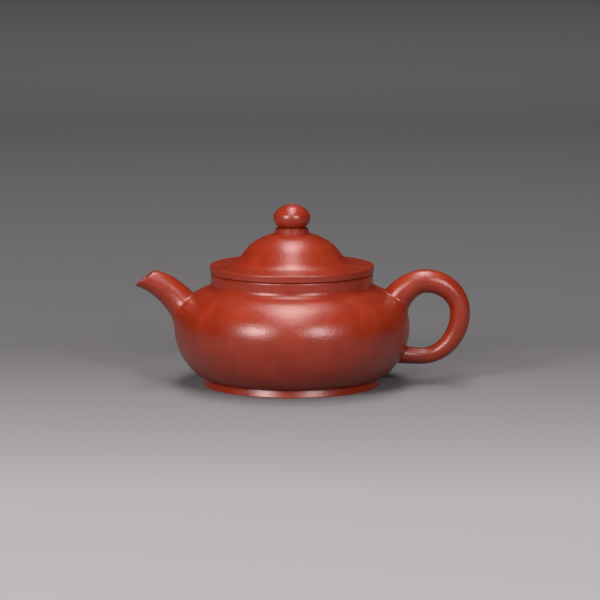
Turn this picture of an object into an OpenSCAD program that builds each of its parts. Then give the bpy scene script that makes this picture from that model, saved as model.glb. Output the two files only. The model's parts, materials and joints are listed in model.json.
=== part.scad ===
// Small lidded teapot of unglazed clay, built up from thrown and rolled pieces
// that are luted together: a round body on a foot ring, a short neck, a wide
// spout, an ear-shaped handle, and a loose domed lid with a bun-shaped knob.
// Millimetres, +Z up. The origin is where the pot's axis meets the table.
// The spout points to -X and the handle to +X.

/* [Body] */
// Widest diameter of the body
belly_d = 102; // [96:1:112]
// Height of the widest line above the table
belly_z = 25; // [24.5:0.5:30]
// Radius of the curve below the widest line
lower_r = 26; // [25:0.5:28]
// Radius of the curve above the widest line
upper_r = 16; // [14:0.5:18]
// Radius of the shoulder, from the upper curve to the neck
shoulder_r = 50; // [44:1:60]
// Steepness at which the shoulder disc is luted to the belly wall
shoulder_angle = 60; // [54:1:64]
// Thickness of the clay wall
wall_t = 2.8; // [2.2:0.1:3.6]

/* [Foot and base] */
// Outer diameter of the foot ring
foot_d = 76.6; // [72:0.2:80]
// Width of the ring that stands on the table
foot_w = 4.4; // [3.4:0.2:6]
// Height of the recessed underside above the table
recess_h = 2; // [1.6:0.1:2.2]
// Thickness of the base disc
base_t = 2.6; // [2.2:0.1:3.6]
// Rounding of the foot ring's lower edges
foot_edge_r = 0.5; // [0.2:0.1:0.8]

/* [Neck and mouth] */
// Outer diameter of the neck ring
neck_d = 70.2; // [67:0.2:71]
// Height of the neck wall above the shoulder
neck_h = 6.1; // [4.6:0.1:8]
// Thickness of the neck, from the mouth that the lid drops into to the outside
neck_t = 4.6; // [4:0.1:6.6]
// Radius of the hollow at the foot of the neck
neck_fillet_r = 1.5; // [0.8:0.1:2.4]
// Rounding of the neck's upper outer edge
neck_edge_r = 0.4; // [0.2:0.1:0.8]

/* [Lid] */
// How far the lid's rim stands out past the neck
lid_lip = 0.5; // [-0.6:0.1:1.9]
// Thickness of the rim
lid_rim_t = 3; // [2.4:0.1:4]
// Rounding of the rim's edges
lid_edge_r = 0.7; // [0.3:0.1:1]
// Width of the rim ring, from its edge in to the dome piece that is set into it
rim_w = 7.6; // [6.6:0.1:8.4]
// Width of the flat edge of the dome piece, from its flare out to the rim ring
dome_edge_w = 1; // [0.4:0.1:1.6]
// Height of the dome above the rim
dome_h = 15.2; // [14:0.2:18]
// Slope where the crown turns into the dome's side
crown_slope = 34; // [30:1:38]
// Radius of the turn from crown to side
turn_r = 13; // [11:0.5:15]
// Slope of the dome's side
side_slope = 52; // [48:1:56]
// Radius of the hollow where the side runs out into the rim
flare_r = 5; // [3.5:0.1:6]
// Thickness of the dome
dome_t = 2.6; // [2:0.1:3.2]
// Length of the locating flange below the rim
flange_h = 6; // [4:0.2:9]
// Thickness of the flange
flange_t = 2.5; // [2:0.1:3]
// Clearance all round between flange and mouth
flange_gap = 0.35; // [0.2:0.05:0.5]
// Clearance between the lid's rim and the neck it rests on
seat_gap = 0.15; // [0.1:0.05:0.25]

/* [Knob] */
// Widest diameter of the knob
knob_d = 16; // [14.5:0.5:18]
// Height of the knob
knob_h = 10.5; // [9.8:0.1:12]
// Height of the knob's widest line above its seat
knob_mid_h = 4.55; // [4.2:0.05:4.9]
// Radius of the knob's side
knob_side_r = 4.2; // [3.8:0.1:4.6]
// Radius of the knob's underside
knob_under_r = 4.65; // [4.4:0.05:5]
// Diameter of the knob's waist
knob_waist_d = 10.8; // [10:0.2:11.6]
// Height of the knob's waist
knob_waist_h = 0.8; // [0.5:0.1:1.2]
// Diameter of the collar's lowest tier
collar_d = 15; // [14.4:0.2:16.4]
// Height of the collar above the dome's crown
collar_h = 0.65; // [0.5:0.05:1]
// Height of the collar's two upper tiers
tier_h = 0.6; // [0.4:0.05:0.7]
// Step in radius from one tier to the next
tier_step = 0.4; // [0.25:0.05:0.5]
// Diameter of the steam vent through knob and lid
vent_d = 2; // [1.4:0.1:2.6]

/* [Spout] */
// How far the lip reaches beyond the belly
spout_reach = 16.9; // [15:0.1:20]
// Height of the lower lip above the body's widest line
lip_rise = 17.7; // [16:0.1:20]
// Length of the slanting mouth, from lower lip to upper lip
spout_mouth_l = 10.7; // [9.6:0.1:12]
// Slant of the mouth above the horizontal
spout_mouth_slant = 38; // [32:1:44]
// Width of the spout across its mouth
spout_mouth_w = 9.6; // [9:0.1:11]
// Width of the spout where it leaves the body
spout_root_w = 18.4; // [17:0.2:21]
// Place of the upper root on the body, above the widest line
spout_top_angle = 66; // [62:1:70]
// Place of the lower root on the body, below the widest line
spout_low_angle = 11; // [8:1:15]
// Thickness of the spout's wall
spout_t = 1.9; // [1.6:0.1:2.2]
// Diameter of the outlet through the body wall
outlet_d = 7.6; // [6.6:0.2:8]
// Place of the outlet on the body, above the widest line
outlet_angle = 31; // [29:1:32]

/* [Ball strainer] */
// Outer radius of the strainer ball
ball_r = 6.2; // [5.9:0.1:6.4]
// Thickness of the ball
ball_t = 1.3; // [1.1:0.1:1.6]
// Diameter of the strainer's holes
ball_hole_d = 1.6; // [1.2:0.1:1.9]

/* [Handle] */
// How far the handle reaches beyond the belly
handle_reach = 26.2; // [24:0.2:30]
// Height of the handle's top above the body's widest line
handle_rise = 24.7; // [23:0.1:27]
// Depth of the handle's bottom below the body's widest line
handle_drop = 16.7; // [15.5:0.1:18]
// Distance of the highest point from the belly's side
handle_crest_x = 7; // [6:0.5:9]
// Distance of the lowest point from the belly's side
handle_low_x = 5; // [3:0.5:7]
// Thickness at the upper root
handle_root_t = 12.4; // [11:0.1:13.4]
// Thickness at the top
handle_top_t = 10.2; // [9:0.1:11.4]
// Thickness at the side
handle_side_t = 8.8; // [7.6:0.1:9.6]
// Thickness along the bottom
handle_low_t = 7.5; // [6.6:0.1:8.4]
// Thickness at the lower root
handle_end_t = 8.2; // [7:0.1:9]
// Width of the handle as a multiple of its thickness
handle_width_ratio = 1.06; // [0.9:0.01:1.2]
// Place of the upper root on the body, above the widest line
handle_top_angle = 50; // [46:1:54]
// Place of the lower root on the body, below the widest line
handle_low_angle = 32; // [29:1:35]

/* [Hidden] */
$fn = 96;

clay = [0.60, 0.23, 0.16];
clay_dark = [0.47, 0.17, 0.12];

// How far cutters run past the faces they cut
over = 1;
// How deep the ends of spout and handle are drawn into the body before they are cut to it
sink = 3;
// How far the straight cut for the ends runs on above the body's join
root_run = 8;
// How far below the widest line the two cuts for the spout's root meet
root_split = 0.2;
// Heights between which the spout's root is cut to the belly
root_low_z = 15;
root_high_z = 60;
// Depth by which the neck's hollow bites into the shoulder, so that it ends in a clean edge
fillet_bite = 0.05;
// Sides and rings of the swept pieces
spout_sides = 24;
spout_rings = 12;
handle_sides = 24;
handle_steps = 9;

// Body
belly_r = belly_d / 2;
lower_c = [belly_r - lower_r, belly_z];
upper_c = [belly_r - upper_r, belly_z];
shoulder_c = upper_c - (shoulder_r - upper_r) * direction(shoulder_angle);
base_top_z = recess_h + base_t;
foot_r = foot_d / 2;
// The ring reaches up to the belly's curve, or to the recess where the curve starts below it
foot_top_z = max(recess_h, belly_z - sqrt(pow(lower_r, 2) - pow(foot_r - lower_c[0], 2)));

// Neck
neck_r = neck_d / 2;
mouth_r = neck_r - neck_t;
neck_top_z = shoulder_z(neck_r) + neck_h;
neck_fillet_c = [neck_r + neck_fillet_r, shoulder_c[1]
    + sqrt(pow(shoulder_r + neck_fillet_r - fillet_bite, 2)
        - pow(neck_r + neck_fillet_r - shoulder_c[0], 2))];
// Width of the hollow, out to where it touches the shoulder
neck_fillet_w = shoulder_c[0] - neck_r + (neck_fillet_c[0] - shoulder_c[0])
    * shoulder_r / (shoulder_r + neck_fillet_r - fillet_bite);

// Lid
lid_r = neck_r + lid_lip;
lid_z = neck_top_z + seat_gap;
rim_top_z = lid_z + lid_rim_t;
flange_r = mouth_r - flange_gap;
dome_seat_r = lid_r - rim_w;
dome_top_z = rim_top_z + dome_h;
// Reach of turn, side and flare, out from the crown's end, less what the crown's radius adds
flare_drop = flare_r - dome_h + turn_r * (cos(crown_slope) - cos(side_slope));
dome_side_w = turn_r * (sin(side_slope) - sin(crown_slope))
    + (flare_r - cos(side_slope) * flare_drop) / sin(side_slope);
// Radius of the crown at which the flare ends on the dome piece's flat edge
crown_r = (dome_seat_r - dome_edge_w - dome_side_w)
    / (sin(crown_slope) - (1 - cos(crown_slope)) / tan(side_slope));
crown_c = [0, dome_top_z - crown_r];
turn_c = crown_c + (crown_r - turn_r) * direction(90 - crown_slope);
side_top = turn_c + turn_r * direction(90 - side_slope);
side_run = [cos(side_slope), -sin(side_slope)];
flare_c_z = rim_top_z + flare_r;
flare_c = [side_top[0] + (flare_r - cos(side_slope) * (flare_c_z - side_top[1]))
    / sin(side_slope), flare_c_z];

// Knob
knob_seat_z = dome_top_z + collar_h;
knob_r = knob_d / 2;
knob_mid_z = knob_seat_z + knob_mid_h;
knob_side_c = [knob_r - knob_side_r, knob_mid_z];
knob_under_c = [knob_r - knob_under_r, knob_mid_z];
// The top is the arc through the highest point that runs on smoothly from the side
knob_rise = knob_h - knob_mid_h;
knob_top_r = (pow(knob_rise, 2) + pow(knob_side_c[0], 2) - pow(knob_side_r, 2))
    / (2 * (knob_rise - knob_side_r));
knob_top_c = [0, knob_seat_z + knob_h - knob_top_r];
knob_join_angle = atan2(knob_side_c[1] - knob_top_c[1], knob_side_c[0] - knob_top_c[0]);
collar_r = collar_d / 2;

// Spout: its upper and lower edges in the plane of the handle, as cubic curves
spout_low_root = lower_c + (lower_r - sink) * direction(-spout_low_angle);
spout_top_root = upper_c + (upper_r - sink) * direction(spout_top_angle);
lip_low = [belly_r + spout_reach, belly_z + lip_rise];
lip_top = lip_low + spout_mouth_l * [-cos(spout_mouth_slant), sin(spout_mouth_slant)];
// Run-out of each edge from its root, and back from its lip
spout_low_out = [3.6, 7.8];
spout_low_back = [10.9, 3.5];
spout_top_out = [6, 6.4];
spout_top_back = [6.9, 0.8];
spout_low_edge = [spout_low_root, spout_low_root + spout_low_out, lip_low - spout_low_back, lip_low];
spout_top_edge = [spout_top_root, spout_top_root + spout_top_out, lip_top - spout_top_back, lip_top];

// Outlet and strainer. Each ring of the strainer's holes has its tilt and its number of holes
ball_rings = [[0, 1], [32, 6], [58, 10]];
outlet_c = upper_c + (upper_r - wall_t / 2) * direction(outlet_angle);
ball_c = upper_c + (upper_r - wall_t) * direction(outlet_angle);

// Handle: its middle line in the plane of the spout, as four cubic curves
handle_root = upper_c + (upper_r - sink) * direction(handle_top_angle);
handle_crest = [belly_r + handle_crest_x, belly_z + handle_rise - handle_top_t / 2];
// Height of the farthest point above the widest line
handle_far_h = 5.8;
handle_far = [belly_r + handle_reach - handle_side_t / 2, belly_z + handle_far_h];
handle_low = [belly_r + handle_low_x, belly_z - handle_drop + handle_low_t / 2];
handle_end = lower_c + (lower_r - sink) * direction(-handle_low_angle);
// Share of a quarter turn's reach that makes its curve round
quarter = 0.55;
// Run-out of the middle line from the upper root, level at top and bottom, and from the lower root
handle_root_out = [4.6, 5.4];
crest_back = [5.6, 0];
low_back = [3.4, 0];
handle_end_out = [3.4, -0.4];
handle_curves = [
    [handle_root, handle_root + handle_root_out, handle_crest - crest_back, handle_crest],
    [handle_crest, handle_crest + [quarter * (handle_far[0] - handle_crest[0]), 0],
        handle_far + [0, quarter * (handle_crest[1] - handle_far[1])], handle_far],
    [handle_far, handle_far - [0, quarter * (handle_far[1] - handle_low[1])],
        handle_low + [quarter * (handle_far[0] - handle_low[0]), 0], handle_low],
    [handle_low, handle_low - low_back, handle_end + handle_end_out, handle_end]];
handle_t = [handle_root_t, handle_top_t, handle_side_t, handle_low_t, handle_end_t];

function direction(angle) = [cos(angle), sin(angle)];
function shoulder_z(r) = shoulder_c[1] + sqrt(pow(shoulder_r, 2) - pow(r - shoulder_c[0], 2));
// Point where belly and shoulder meet, drawn in by an inset
function shoulder_join(inset) = upper_c + (upper_r - inset) * direction(shoulder_angle);
// Easing from 0 to 1 with level ends
function ease(t) = t * t * (3 - 2 * t);
function mix(a, b, t) = a * (1 - t) + b * t;
function cubic(p, t) = pow(1 - t, 3) * p[0] + 3 * pow(1 - t, 2) * t * p[1]
    + 3 * (1 - t) * t * t * p[2] + pow(t, 3) * p[3];
function cubic_run(p, t) = 3 * pow(1 - t, 2) * (p[1] - p[0]) + 6 * (1 - t) * t * (p[2] - p[1])
    + 3 * t * t * (p[3] - p[2]);

// An oval ring of points: centre c and half height h in the XZ plane, half width w along Y
function oval_ring(c, h, w, sides) = [for (i = [0 : sides - 1]) let (a = 360 * i / sides)
    [c[0] + h[0] * cos(a), w * sin(a), c[1] + h[1] * cos(a)]];

// Rings of the spout, each spanning from its lower to its upper edge, less an inset, and
// moved square to its own plane by a shift
function spout_ring(t, inset, shift) = let (
    low = cubic(spout_low_edge, t),
    top = cubic(spout_top_edge, t),
    half = (top - low) / 2,
    off = shift * [half[1], -half[0]] / norm(half),
    w = mix(spout_root_w, spout_mouth_w, ease(sqrt(t))) / 2)
    oval_ring((top + low) / 2 + off, half * (1 - inset / norm(half)), w - inset, spout_sides);

// Rings of the handle, square to its middle line
function handle_ring(k, t) = let (
    c = cubic(handle_curves[k], t),
    run = cubic_run(handle_curves[k], t),
    across = [-run[1], run[0]] / norm(run),
    thick = mix(handle_t[k], handle_t[k + 1], ease(t)))
    oval_ring(c, across * thick / 2, thick * handle_width_ratio / 2, handle_sides);

// Triangles between two neighbouring rings that start at points a and b
function band(a, b, sides) = [for (i = [0 : sides - 1]) let (j = (i + 1) % sides)
    each [[a + i, a + j, b + j], [a + i, b + j, b + i]]];

// Slice of a disc between two angles, for round stretches of an outline
module pie(c, r, from, to) {
    intersection() {
        translate(c) circle(r);
        polygon([c, c + 2 * r * direction(from), c + 2 * r * direction((from + to) / 2),
            c + 2 * r * direction(to)]);
    }
}

// Half outline of the belly up to the shoulder, filled to the axis, drawn in by an inset
module belly_outline(inset = 0) {
    floor_z = belly_z - lower_r + inset;
    join = shoulder_join(inset);
    polygon([[0, floor_z], [lower_c[0], floor_z], [belly_r - inset, belly_z], join, [0, join[1]]]);
    pie(lower_c, lower_r - inset, -90, 0);
    pie(upper_c, upper_r - inset, 0, shoulder_angle);
}

// Half outline of the whole body, filled to the axis, drawn in by an inset
module body_outline(inset = 0) {
    join = shoulder_join(inset);
    crest = shoulder_c + [0, shoulder_r - inset];
    belly_outline(inset);
    polygon([[0, belly_z], [join[0], belly_z], join, crest, [0, crest[1]]]);
    intersection() {
        translate(shoulder_c) circle(shoulder_r - inset);
        translate([shoulder_c[0], belly_z]) square([join[0] - shoulder_c[0], shoulder_r]);
    }
}

// Solids that spout and handle are cut to: the belly between two heights, and a cone that
// runs the belly on straight above its join with the shoulder
module root_slab(from, to) {
    rotate_extrude() intersection() {
        belly_outline();
        translate([0, from]) square([belly_r + over, to - from]);
    }
}

module root_cone() {
    join = shoulder_join(0);
    straight = join + root_run * direction(shoulder_angle + 90);
    rotate_extrude() polygon([[0, join[1]], join, straight, [0, straight[1]]]);
}

// Rectangle with its two right-hand corners rounded
module rounded_band(corner, size, r) {
    translate(corner) {
        square([size[0] - r, size[1]]);
        translate([0, r]) square([size[0], size[1] - 2 * r]);
        translate([size[0] - r, r]) circle(r);
        translate([size[0] - r, size[1] - r]) circle(r);
    }
}

// Flat disc that closes the body below, its edge following the belly
module base_disc() {
    color(clay_dark) rotate_extrude() intersection() {
        body_outline();
        translate([0, recess_h]) square([belly_r, base_t]);
    }
}

// Ring that the pot stands on, luted under the base
module foot_ring() {
    color(clay) rotate_extrude() difference() {
        union() {
            rounded_band([foot_r - foot_w / 2, 0], [foot_w / 2, foot_w], foot_edge_r);
            mirror([1, 0]) rounded_band([foot_w / 2 - foot_r, 0], [foot_w / 2, foot_w], foot_edge_r);
        }
        intersection() {
            body_outline();
            translate([0, recess_h]) square([belly_r, foot_w]);
        }
        translate([foot_r - foot_w - over, recess_h]) square([foot_w, foot_w]);
        translate([foot_r - foot_w, foot_top_z]) square([foot_w + over, foot_w]);
    }
}

// Round wall of the body, from the base up to the shoulder disc, with the spout's outlet
module belly_wall() {
    far = upper_c + 3 * upper_r * direction(shoulder_angle);
    color(clay) difference() {
        rotate_extrude() difference() {
            intersection() {
                body_outline();
                polygon([[lower_c[0], base_top_z], [2 * belly_r, base_top_z], [2 * belly_r, far[1]],
                    far, upper_c, [lower_c[0], belly_z]]);
            }
            body_outline(wall_t);
        }
        outlet_bore(outlet_d, 3 * wall_t);
    }
}

// Disc that closes the body above, with the mouth cut out of it
module shoulder_disc() {
    far = upper_c + 3 * upper_r * direction(shoulder_angle);
    color(clay) rotate_extrude() difference() {
        intersection() {
            body_outline();
            polygon([[mouth_r, upper_c[1] + (mouth_r - upper_c[0]) * tan(shoulder_angle)], far,
                [mouth_r, far[1]]]);
        }
        body_outline(wall_t);
    }
}

// Straight ring round the mouth, with a small hollow where it meets the shoulder
module neck_ring() {
    color(clay) rotate_extrude() difference() {
        union() {
            translate([mouth_r, belly_z]) square([neck_r - mouth_r - over, neck_top_z - belly_z]);
            rounded_band([neck_r - 2 * over, belly_z], [2 * over, neck_top_z - belly_z], neck_edge_r);
            difference() {
                translate([neck_r - over, belly_z])
                    square([over + neck_fillet_w, neck_fillet_c[1] - belly_z]);
                translate(neck_fillet_c) circle(neck_fillet_r);
            }
        }
        body_outline();
    }
}

// Round bore of the spout's outlet, square to the body wall
module outlet_bore(d, l) {
    translate([-outlet_c[0], 0, outlet_c[1]]) rotate([0, outlet_angle - 90, 0])
        cylinder(d = d, h = l, center = true);
}

// Capped sweep through rings of points that all have the same number of sides
module sweep(rings, sides) {
    last = (len(rings) - 1) * sides;
    skin = [for (i = [0 : len(rings) - 2]) each band(i * sides, (i + 1) * sides, sides)];
    first_face = [for (i = [1 : sides - 2]) [0, i + 1, i]];
    last_face = [for (i = [1 : sides - 2]) [last, last + i, last + i + 1]];
    polyhedron([for (r = rings) each r], concat(skin, first_face, last_face));
}

// Rings of the whole spout, less an inset
function spout_rows(inset) = [for (i = [0 : spout_rings]) spout_ring(i / spout_rings, inset, 0)];

// Short wide spout, hollow, cut to the belly at its root. The cuts come one after another,
// and the slabs meet a little below the widest line, where the belly's two curves join
module spout() {
    split_z = belly_z - root_split;
    bore = concat([spout_ring(0, spout_t, -over)], spout_rows(spout_t),
        [spout_ring(1, spout_t, over)]);
    color(clay) rotate([0, 0, 180]) difference() {
        difference() {
            difference() {
                difference() {
                    sweep(spout_rows(0), spout_sides);
                    root_slab(root_low_z, split_z);
                }
                root_slab(split_z, root_high_z);
            }
            root_cone();
        }
        sweep(bore, spout_sides);
    }
}

// Perforated ball inside the belly, over the spout's outlet
module ball_strainer() {
    color(clay_dark) intersection() {
        rotate_extrude() belly_outline(wall_t);
        translate([-ball_c[0], 0, ball_c[1]]) difference() {
            sphere(ball_r);
            sphere(ball_r - ball_t);
            rotate([0, 90 + outlet_angle, 0])
                for (ring = ball_rings) for (i = [0.5 : ring[1]])
                    rotate([0, 0, 360 * i / ring[1]]) rotate([0, ring[0], 0])
                        translate([0, 0, ball_r - ball_t - over / 2])
                            cylinder(d = ball_hole_d, h = ball_t + over);
        }
    }
}

// Ear-shaped handle, thickest at its upper root, cut to the belly at both ends
module handle() {
    rings = [for (k = [0 : len(handle_curves) - 1]) for (i = [0 : handle_steps - 1])
        handle_ring(k, i / handle_steps)];
    color(clay) difference() {
        difference() {
            sweep(concat(rings, [handle_ring(len(handle_curves) - 1, 1)]), handle_sides);
            root_cone();
        }
        root_slab(foot_top_z, neck_top_z);
    }
}

// Flat ring of the lid, resting on the neck
module lid_rim() {
    color(clay) rotate_extrude()
        rounded_band([dome_seat_r, lid_z], [lid_r - dome_seat_r, lid_rim_t], lid_edge_r);
}

// Half outline of the dome, filled down to the rim's underside, drawn in by an inset
module dome_outline(inset = 0) {
    crown = crown_r - inset;
    turn = turn_r - inset;
    top = crown_c + [0, crown];
    join = turn_c + turn * direction(90 - crown_slope);
    side = turn_c + turn * direction(90 - side_slope);
    foot = side + side_run * (side[1] - lid_z + over) / sin(side_slope);
    polygon([[0, lid_z - over], foot, side, join, top]);
    pie(crown_c, crown, 90 - crown_slope, 90);
    pie(turn_c, turn, 90 - side_slope, 90 - crown_slope);
}

// Dome of the lid, flaring out into the rim, with the vent through its top
module lid_dome() {
    color(clay) difference() {
        rotate_extrude() difference() {
            union() {
                intersection() {
                    dome_outline();
                    translate([0, lid_z]) square([dome_seat_r, lid_rim_t + dome_h]);
                }
                translate([0, lid_z]) square([dome_seat_r, lid_rim_t]);
                difference() {
                    translate([side_top[0], rim_top_z - over])
                        square([flare_c[0] - side_top[0], over + flare_r * (1 - cos(side_slope))]);
                    translate(flare_c) circle(flare_r);
                }
            }
            dome_outline(dome_t);
        }
        vent_bore();
    }
}

// Locating ring under the lid, that drops into the mouth
module lid_flange() {
    color(clay_dark) rotate_extrude()
        translate([flange_r - flange_t, lid_z - flange_h]) square([flange_t, flange_h]);
}

module vent_bore() {
    translate([0, 0, lid_z]) cylinder(d = vent_d, h = knob_seat_z + knob_h - lid_z + over);
}

// Three thin tiers between dome and knob
module knob_collar() {
    color(clay) difference() {
        rotate_extrude() difference() {
            union() {
                for (i = [0 : 2]) let (r = collar_r - i * tier_step, drop = (2 - i) * tier_h)
                    translate([0, rim_top_z]) square([r, knob_seat_z - drop - rim_top_z]);
            }
            dome_outline();
        }
        vent_bore();
    }
}

// Bun-shaped knob on a short waist
module knob() {
    color(clay) difference() {
        rotate_extrude() {
            polygon([[0, knob_mid_z], [knob_r, knob_mid_z],
                knob_side_c + knob_side_r * direction(knob_join_angle),
                [0, knob_seat_z + knob_h]]);
            pie(knob_side_c, knob_side_r, 0, knob_join_angle);
            pie(knob_top_c, knob_top_r, knob_join_angle, 90);
            intersection() {
                union() {
                    pie(knob_under_c, knob_under_r, -90, 0);
                    translate([0, knob_seat_z]) square([knob_under_c[0], knob_mid_h]);
                }
                translate([0, knob_seat_z]) square([knob_r, knob_mid_h]);
            }
            translate([0, knob_seat_z]) square([knob_waist_d / 2, knob_waist_h]);
        }
        vent_bore();
    }
}

base_disc();
foot_ring();
belly_wall();
shoulder_disc();
neck_ring();
spout();
ball_strainer();
handle();
lid_rim();
lid_dome();
lid_flange();
knob_collar();
knob();
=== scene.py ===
"""Dresses a small lidded clay teapot: round body, spout, handle and loose lid in burnished clay.

The sizes repeat those of the construction model, in millimetres, and every mesh is scaled to
metres when it is made. The pot's axis is Z, the spout points to -X and the handle to +X.
"""

import json
import logging
import math
from dataclasses import dataclass, field
from enum import Enum
from typing import Callable

import bmesh
import bpy
import numpy as np
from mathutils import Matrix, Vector

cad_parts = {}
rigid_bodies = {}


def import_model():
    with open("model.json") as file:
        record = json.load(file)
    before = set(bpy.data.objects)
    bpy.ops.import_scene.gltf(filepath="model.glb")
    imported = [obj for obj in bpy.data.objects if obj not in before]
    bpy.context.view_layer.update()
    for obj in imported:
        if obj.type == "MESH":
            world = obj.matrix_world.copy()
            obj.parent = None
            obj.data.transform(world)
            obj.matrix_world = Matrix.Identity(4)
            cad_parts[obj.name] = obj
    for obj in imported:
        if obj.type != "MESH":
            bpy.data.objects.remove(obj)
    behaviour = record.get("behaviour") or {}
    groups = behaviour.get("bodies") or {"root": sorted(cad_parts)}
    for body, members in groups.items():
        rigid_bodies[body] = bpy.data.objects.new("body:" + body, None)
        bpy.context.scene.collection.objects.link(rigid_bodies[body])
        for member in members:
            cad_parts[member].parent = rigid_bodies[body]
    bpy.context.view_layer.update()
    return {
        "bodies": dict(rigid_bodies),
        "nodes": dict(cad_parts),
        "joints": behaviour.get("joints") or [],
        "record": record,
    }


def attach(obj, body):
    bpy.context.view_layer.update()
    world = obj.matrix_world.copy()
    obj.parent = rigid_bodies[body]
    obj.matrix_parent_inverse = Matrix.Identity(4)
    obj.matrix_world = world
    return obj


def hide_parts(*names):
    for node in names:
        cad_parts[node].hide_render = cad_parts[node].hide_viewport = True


LOG = logging.getLogger("teapot")

MM = 0.001
# Steps round the axis in every turned piece
TURN_STEPS = 192
# Turn between neighbouring points of a rounded stretch, in degrees
ARC_STEP = 1.5
# Points that round off one corner
CORNER_POINTS = 5
# Fewest points of a straight run
LINE_POINTS = 6
# Distances below this count as nothing, in millimetres
TINY = 1e-6
# Corner of two runs that meet smoothly already, so nothing is rounded there
SMOOTH = 0.0
# Gap between the neck and the lid that rests on it, in millimetres
LID_GAP = 0.15

Surface = Callable[[np.ndarray, np.ndarray], np.ndarray]


class Body(Enum):
    """The two bodies of the model."""

    POT = "pot"
    LID = "lid"


class Slot(Enum):
    """The material slots that the record names."""

    OUTSIDE = "clay"
    INSIDE = "clay_inside"


# ---------------------------------------------------------------- outlines and meshes


def heading(degrees: float) -> np.ndarray:
    """Returns the unit vector at an angle in degrees from the first axis."""
    return np.array([math.cos(math.radians(degrees)), math.sin(math.radians(degrees))])


def ease(share: np.ndarray) -> np.ndarray:
    """Returns a share from 0 to 1 with level ends."""
    return share * share * (3 - 2 * share)


def arc(centre: np.ndarray, radius: float, start: float, end: float) -> np.ndarray:
    """Runs points along an arc.

    Args:
        centre: Middle of the arc, as radius and height.
        radius: Radius of the arc.
        start: Angle of the first point, in degrees.
        end: Angle of the last point, in degrees.

    Returns:
        The points, one row each.
    """
    count = max(3, int(math.ceil(abs(end - start) / ARC_STEP)) + 1)
    turns = np.radians(np.linspace(start, end, count))
    return np.asarray(centre) + radius * np.column_stack([np.cos(turns), np.sin(turns)])


def line(start: tuple[float, float], end: tuple[float, float]) -> np.ndarray:
    """Runs points along a straight line, closer together at its ends.

    Args:
        start: First point.
        end: Last point.

    Returns:
        The points, one row each.
    """
    first, last = np.asarray(start, float), np.asarray(end, float)
    count = LINE_POINTS + int(np.linalg.norm(last - first))
    share = (1 - np.cos(np.linspace(0, math.pi, count))) / 2
    return first + share[:, None] * (last - first)


def trimmed(run: np.ndarray, head: float, tail: float) -> np.ndarray:
    """Cuts the two ends of a run of points back.

    Args:
        run: Points along a line.
        head: Length to take off at the start.
        tail: Length to take off at the end.

    Returns:
        What is left of the run.
    """
    along = np.concatenate([[0], np.cumsum(np.linalg.norm(np.diff(run, axis=0), axis=1))])
    ends = [
        np.array([np.interp(spot, along, run[:, axis]) for axis in range(2)])
        for spot in (head, along[-1] - tail)
    ]
    kept = run[(along > head + TINY) & (along < along[-1] - tail - TINY)]
    return np.vstack([ends[:1], kept, ends[1:]])


def joined(pairs: list[tuple[np.ndarray, float]], closed: bool) -> np.ndarray:
    """Joins runs of points end to end and rounds the corners between them.

    Args:
        pairs: Each run, which starts where the one before it ends, with how far the rounding
            at its end reaches along both sides of the corner.
        closed: Whether the last run ends where the first one starts.

    Returns:
        One outline without repeated points.
    """
    runs, corners = zip(*pairs)
    parts = []
    for number, run in enumerate(runs):
        last = number == len(runs) - 1 and not closed
        head = 0.0 if number == 0 and not closed else corners[number - 1]
        tail = 0.0 if last else corners[number]
        parts.append(trimmed(run, head, tail))
        if tail > 0:
            before, corner = parts[-1][-1], run[-1]
            after = trimmed(runs[(number + 1) % len(runs)], tail, 0.0)[0]
            share = np.linspace(0, 1, CORNER_POINTS + 2)[1:-1, None]
            parts.append(
                (1 - share) ** 2 * before + 2 * share * (1 - share) * corner + share**2 * after
            )
    path = np.vstack(parts)
    fresh = np.linalg.norm(path - np.roll(path, 1, axis=0), axis=1) > TINY
    if not closed:
        fresh[0] = True
    return path[fresh]


def skin(rows: np.ndarray) -> list[list[int]]:
    """Lays faces between neighbouring closed rows of vertex numbers.

    Args:
        rows: Vertex numbers, one closed row per line. A pole repeats its one number.

    Returns:
        The faces, with no vertex twice in one face.
    """
    ahead = np.roll(rows, -1, axis=1)
    corners = np.stack([rows[:-1], ahead[:-1], ahead[1:], rows[1:]], axis=-1).reshape(-1, 4)
    return [list(dict.fromkeys(face)) for face in corners.tolist()]


def solid(name: str, points: np.ndarray, faces: list[list[int]]) -> bpy.types.Object:
    """Makes a smooth closed piece from points and faces.

    Args:
        name: Name of the piece.
        points: Its points in millimetres.
        faces: Its faces, as lists of point numbers.

    Returns:
        The piece, linked to the scene, with its faces turned outwards.
    """
    mesh = bpy.data.meshes.new(name)
    mesh.from_pydata((points * MM).tolist(), [], faces)
    work = bmesh.new()
    work.from_mesh(mesh)
    bmesh.ops.recalc_face_normals(work, faces=work.faces)
    for face in work.faces:
        face.smooth = True
    work.to_mesh(mesh)
    work.free()
    piece = bpy.data.objects.new(name, mesh)
    bpy.context.scene.collection.objects.link(piece)
    return piece


def lathe(name: str, outline: np.ndarray, closed: bool) -> bpy.types.Object:
    """Turns a half outline about the axis.

    Args:
        name: Name of the piece.
        outline: Points as radius and height. A radius of nothing makes a pole.
        closed: Whether the outline's end joins its start.

    Returns:
        The turned piece.
    """
    turns = 2 * math.pi * np.arange(TURN_STEPS) / TURN_STEPS
    blocks, rows, count = [], [], 0
    for radius, height in outline:
        steps = 1 if radius < TINY else TURN_STEPS
        blocks.append(
            np.column_stack(
                [
                    radius * np.cos(turns[:steps]),
                    radius * np.sin(turns[:steps]),
                    np.full(steps, height),
                ]
            )
        )
        rows.append(count + np.arange(TURN_STEPS) % steps)
        count += steps
    if closed:
        rows.append(rows[0])
    return solid(name, np.vstack(blocks), skin(np.array(rows)))


# ---------------------------------------------------------------- the round body's curve


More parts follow.
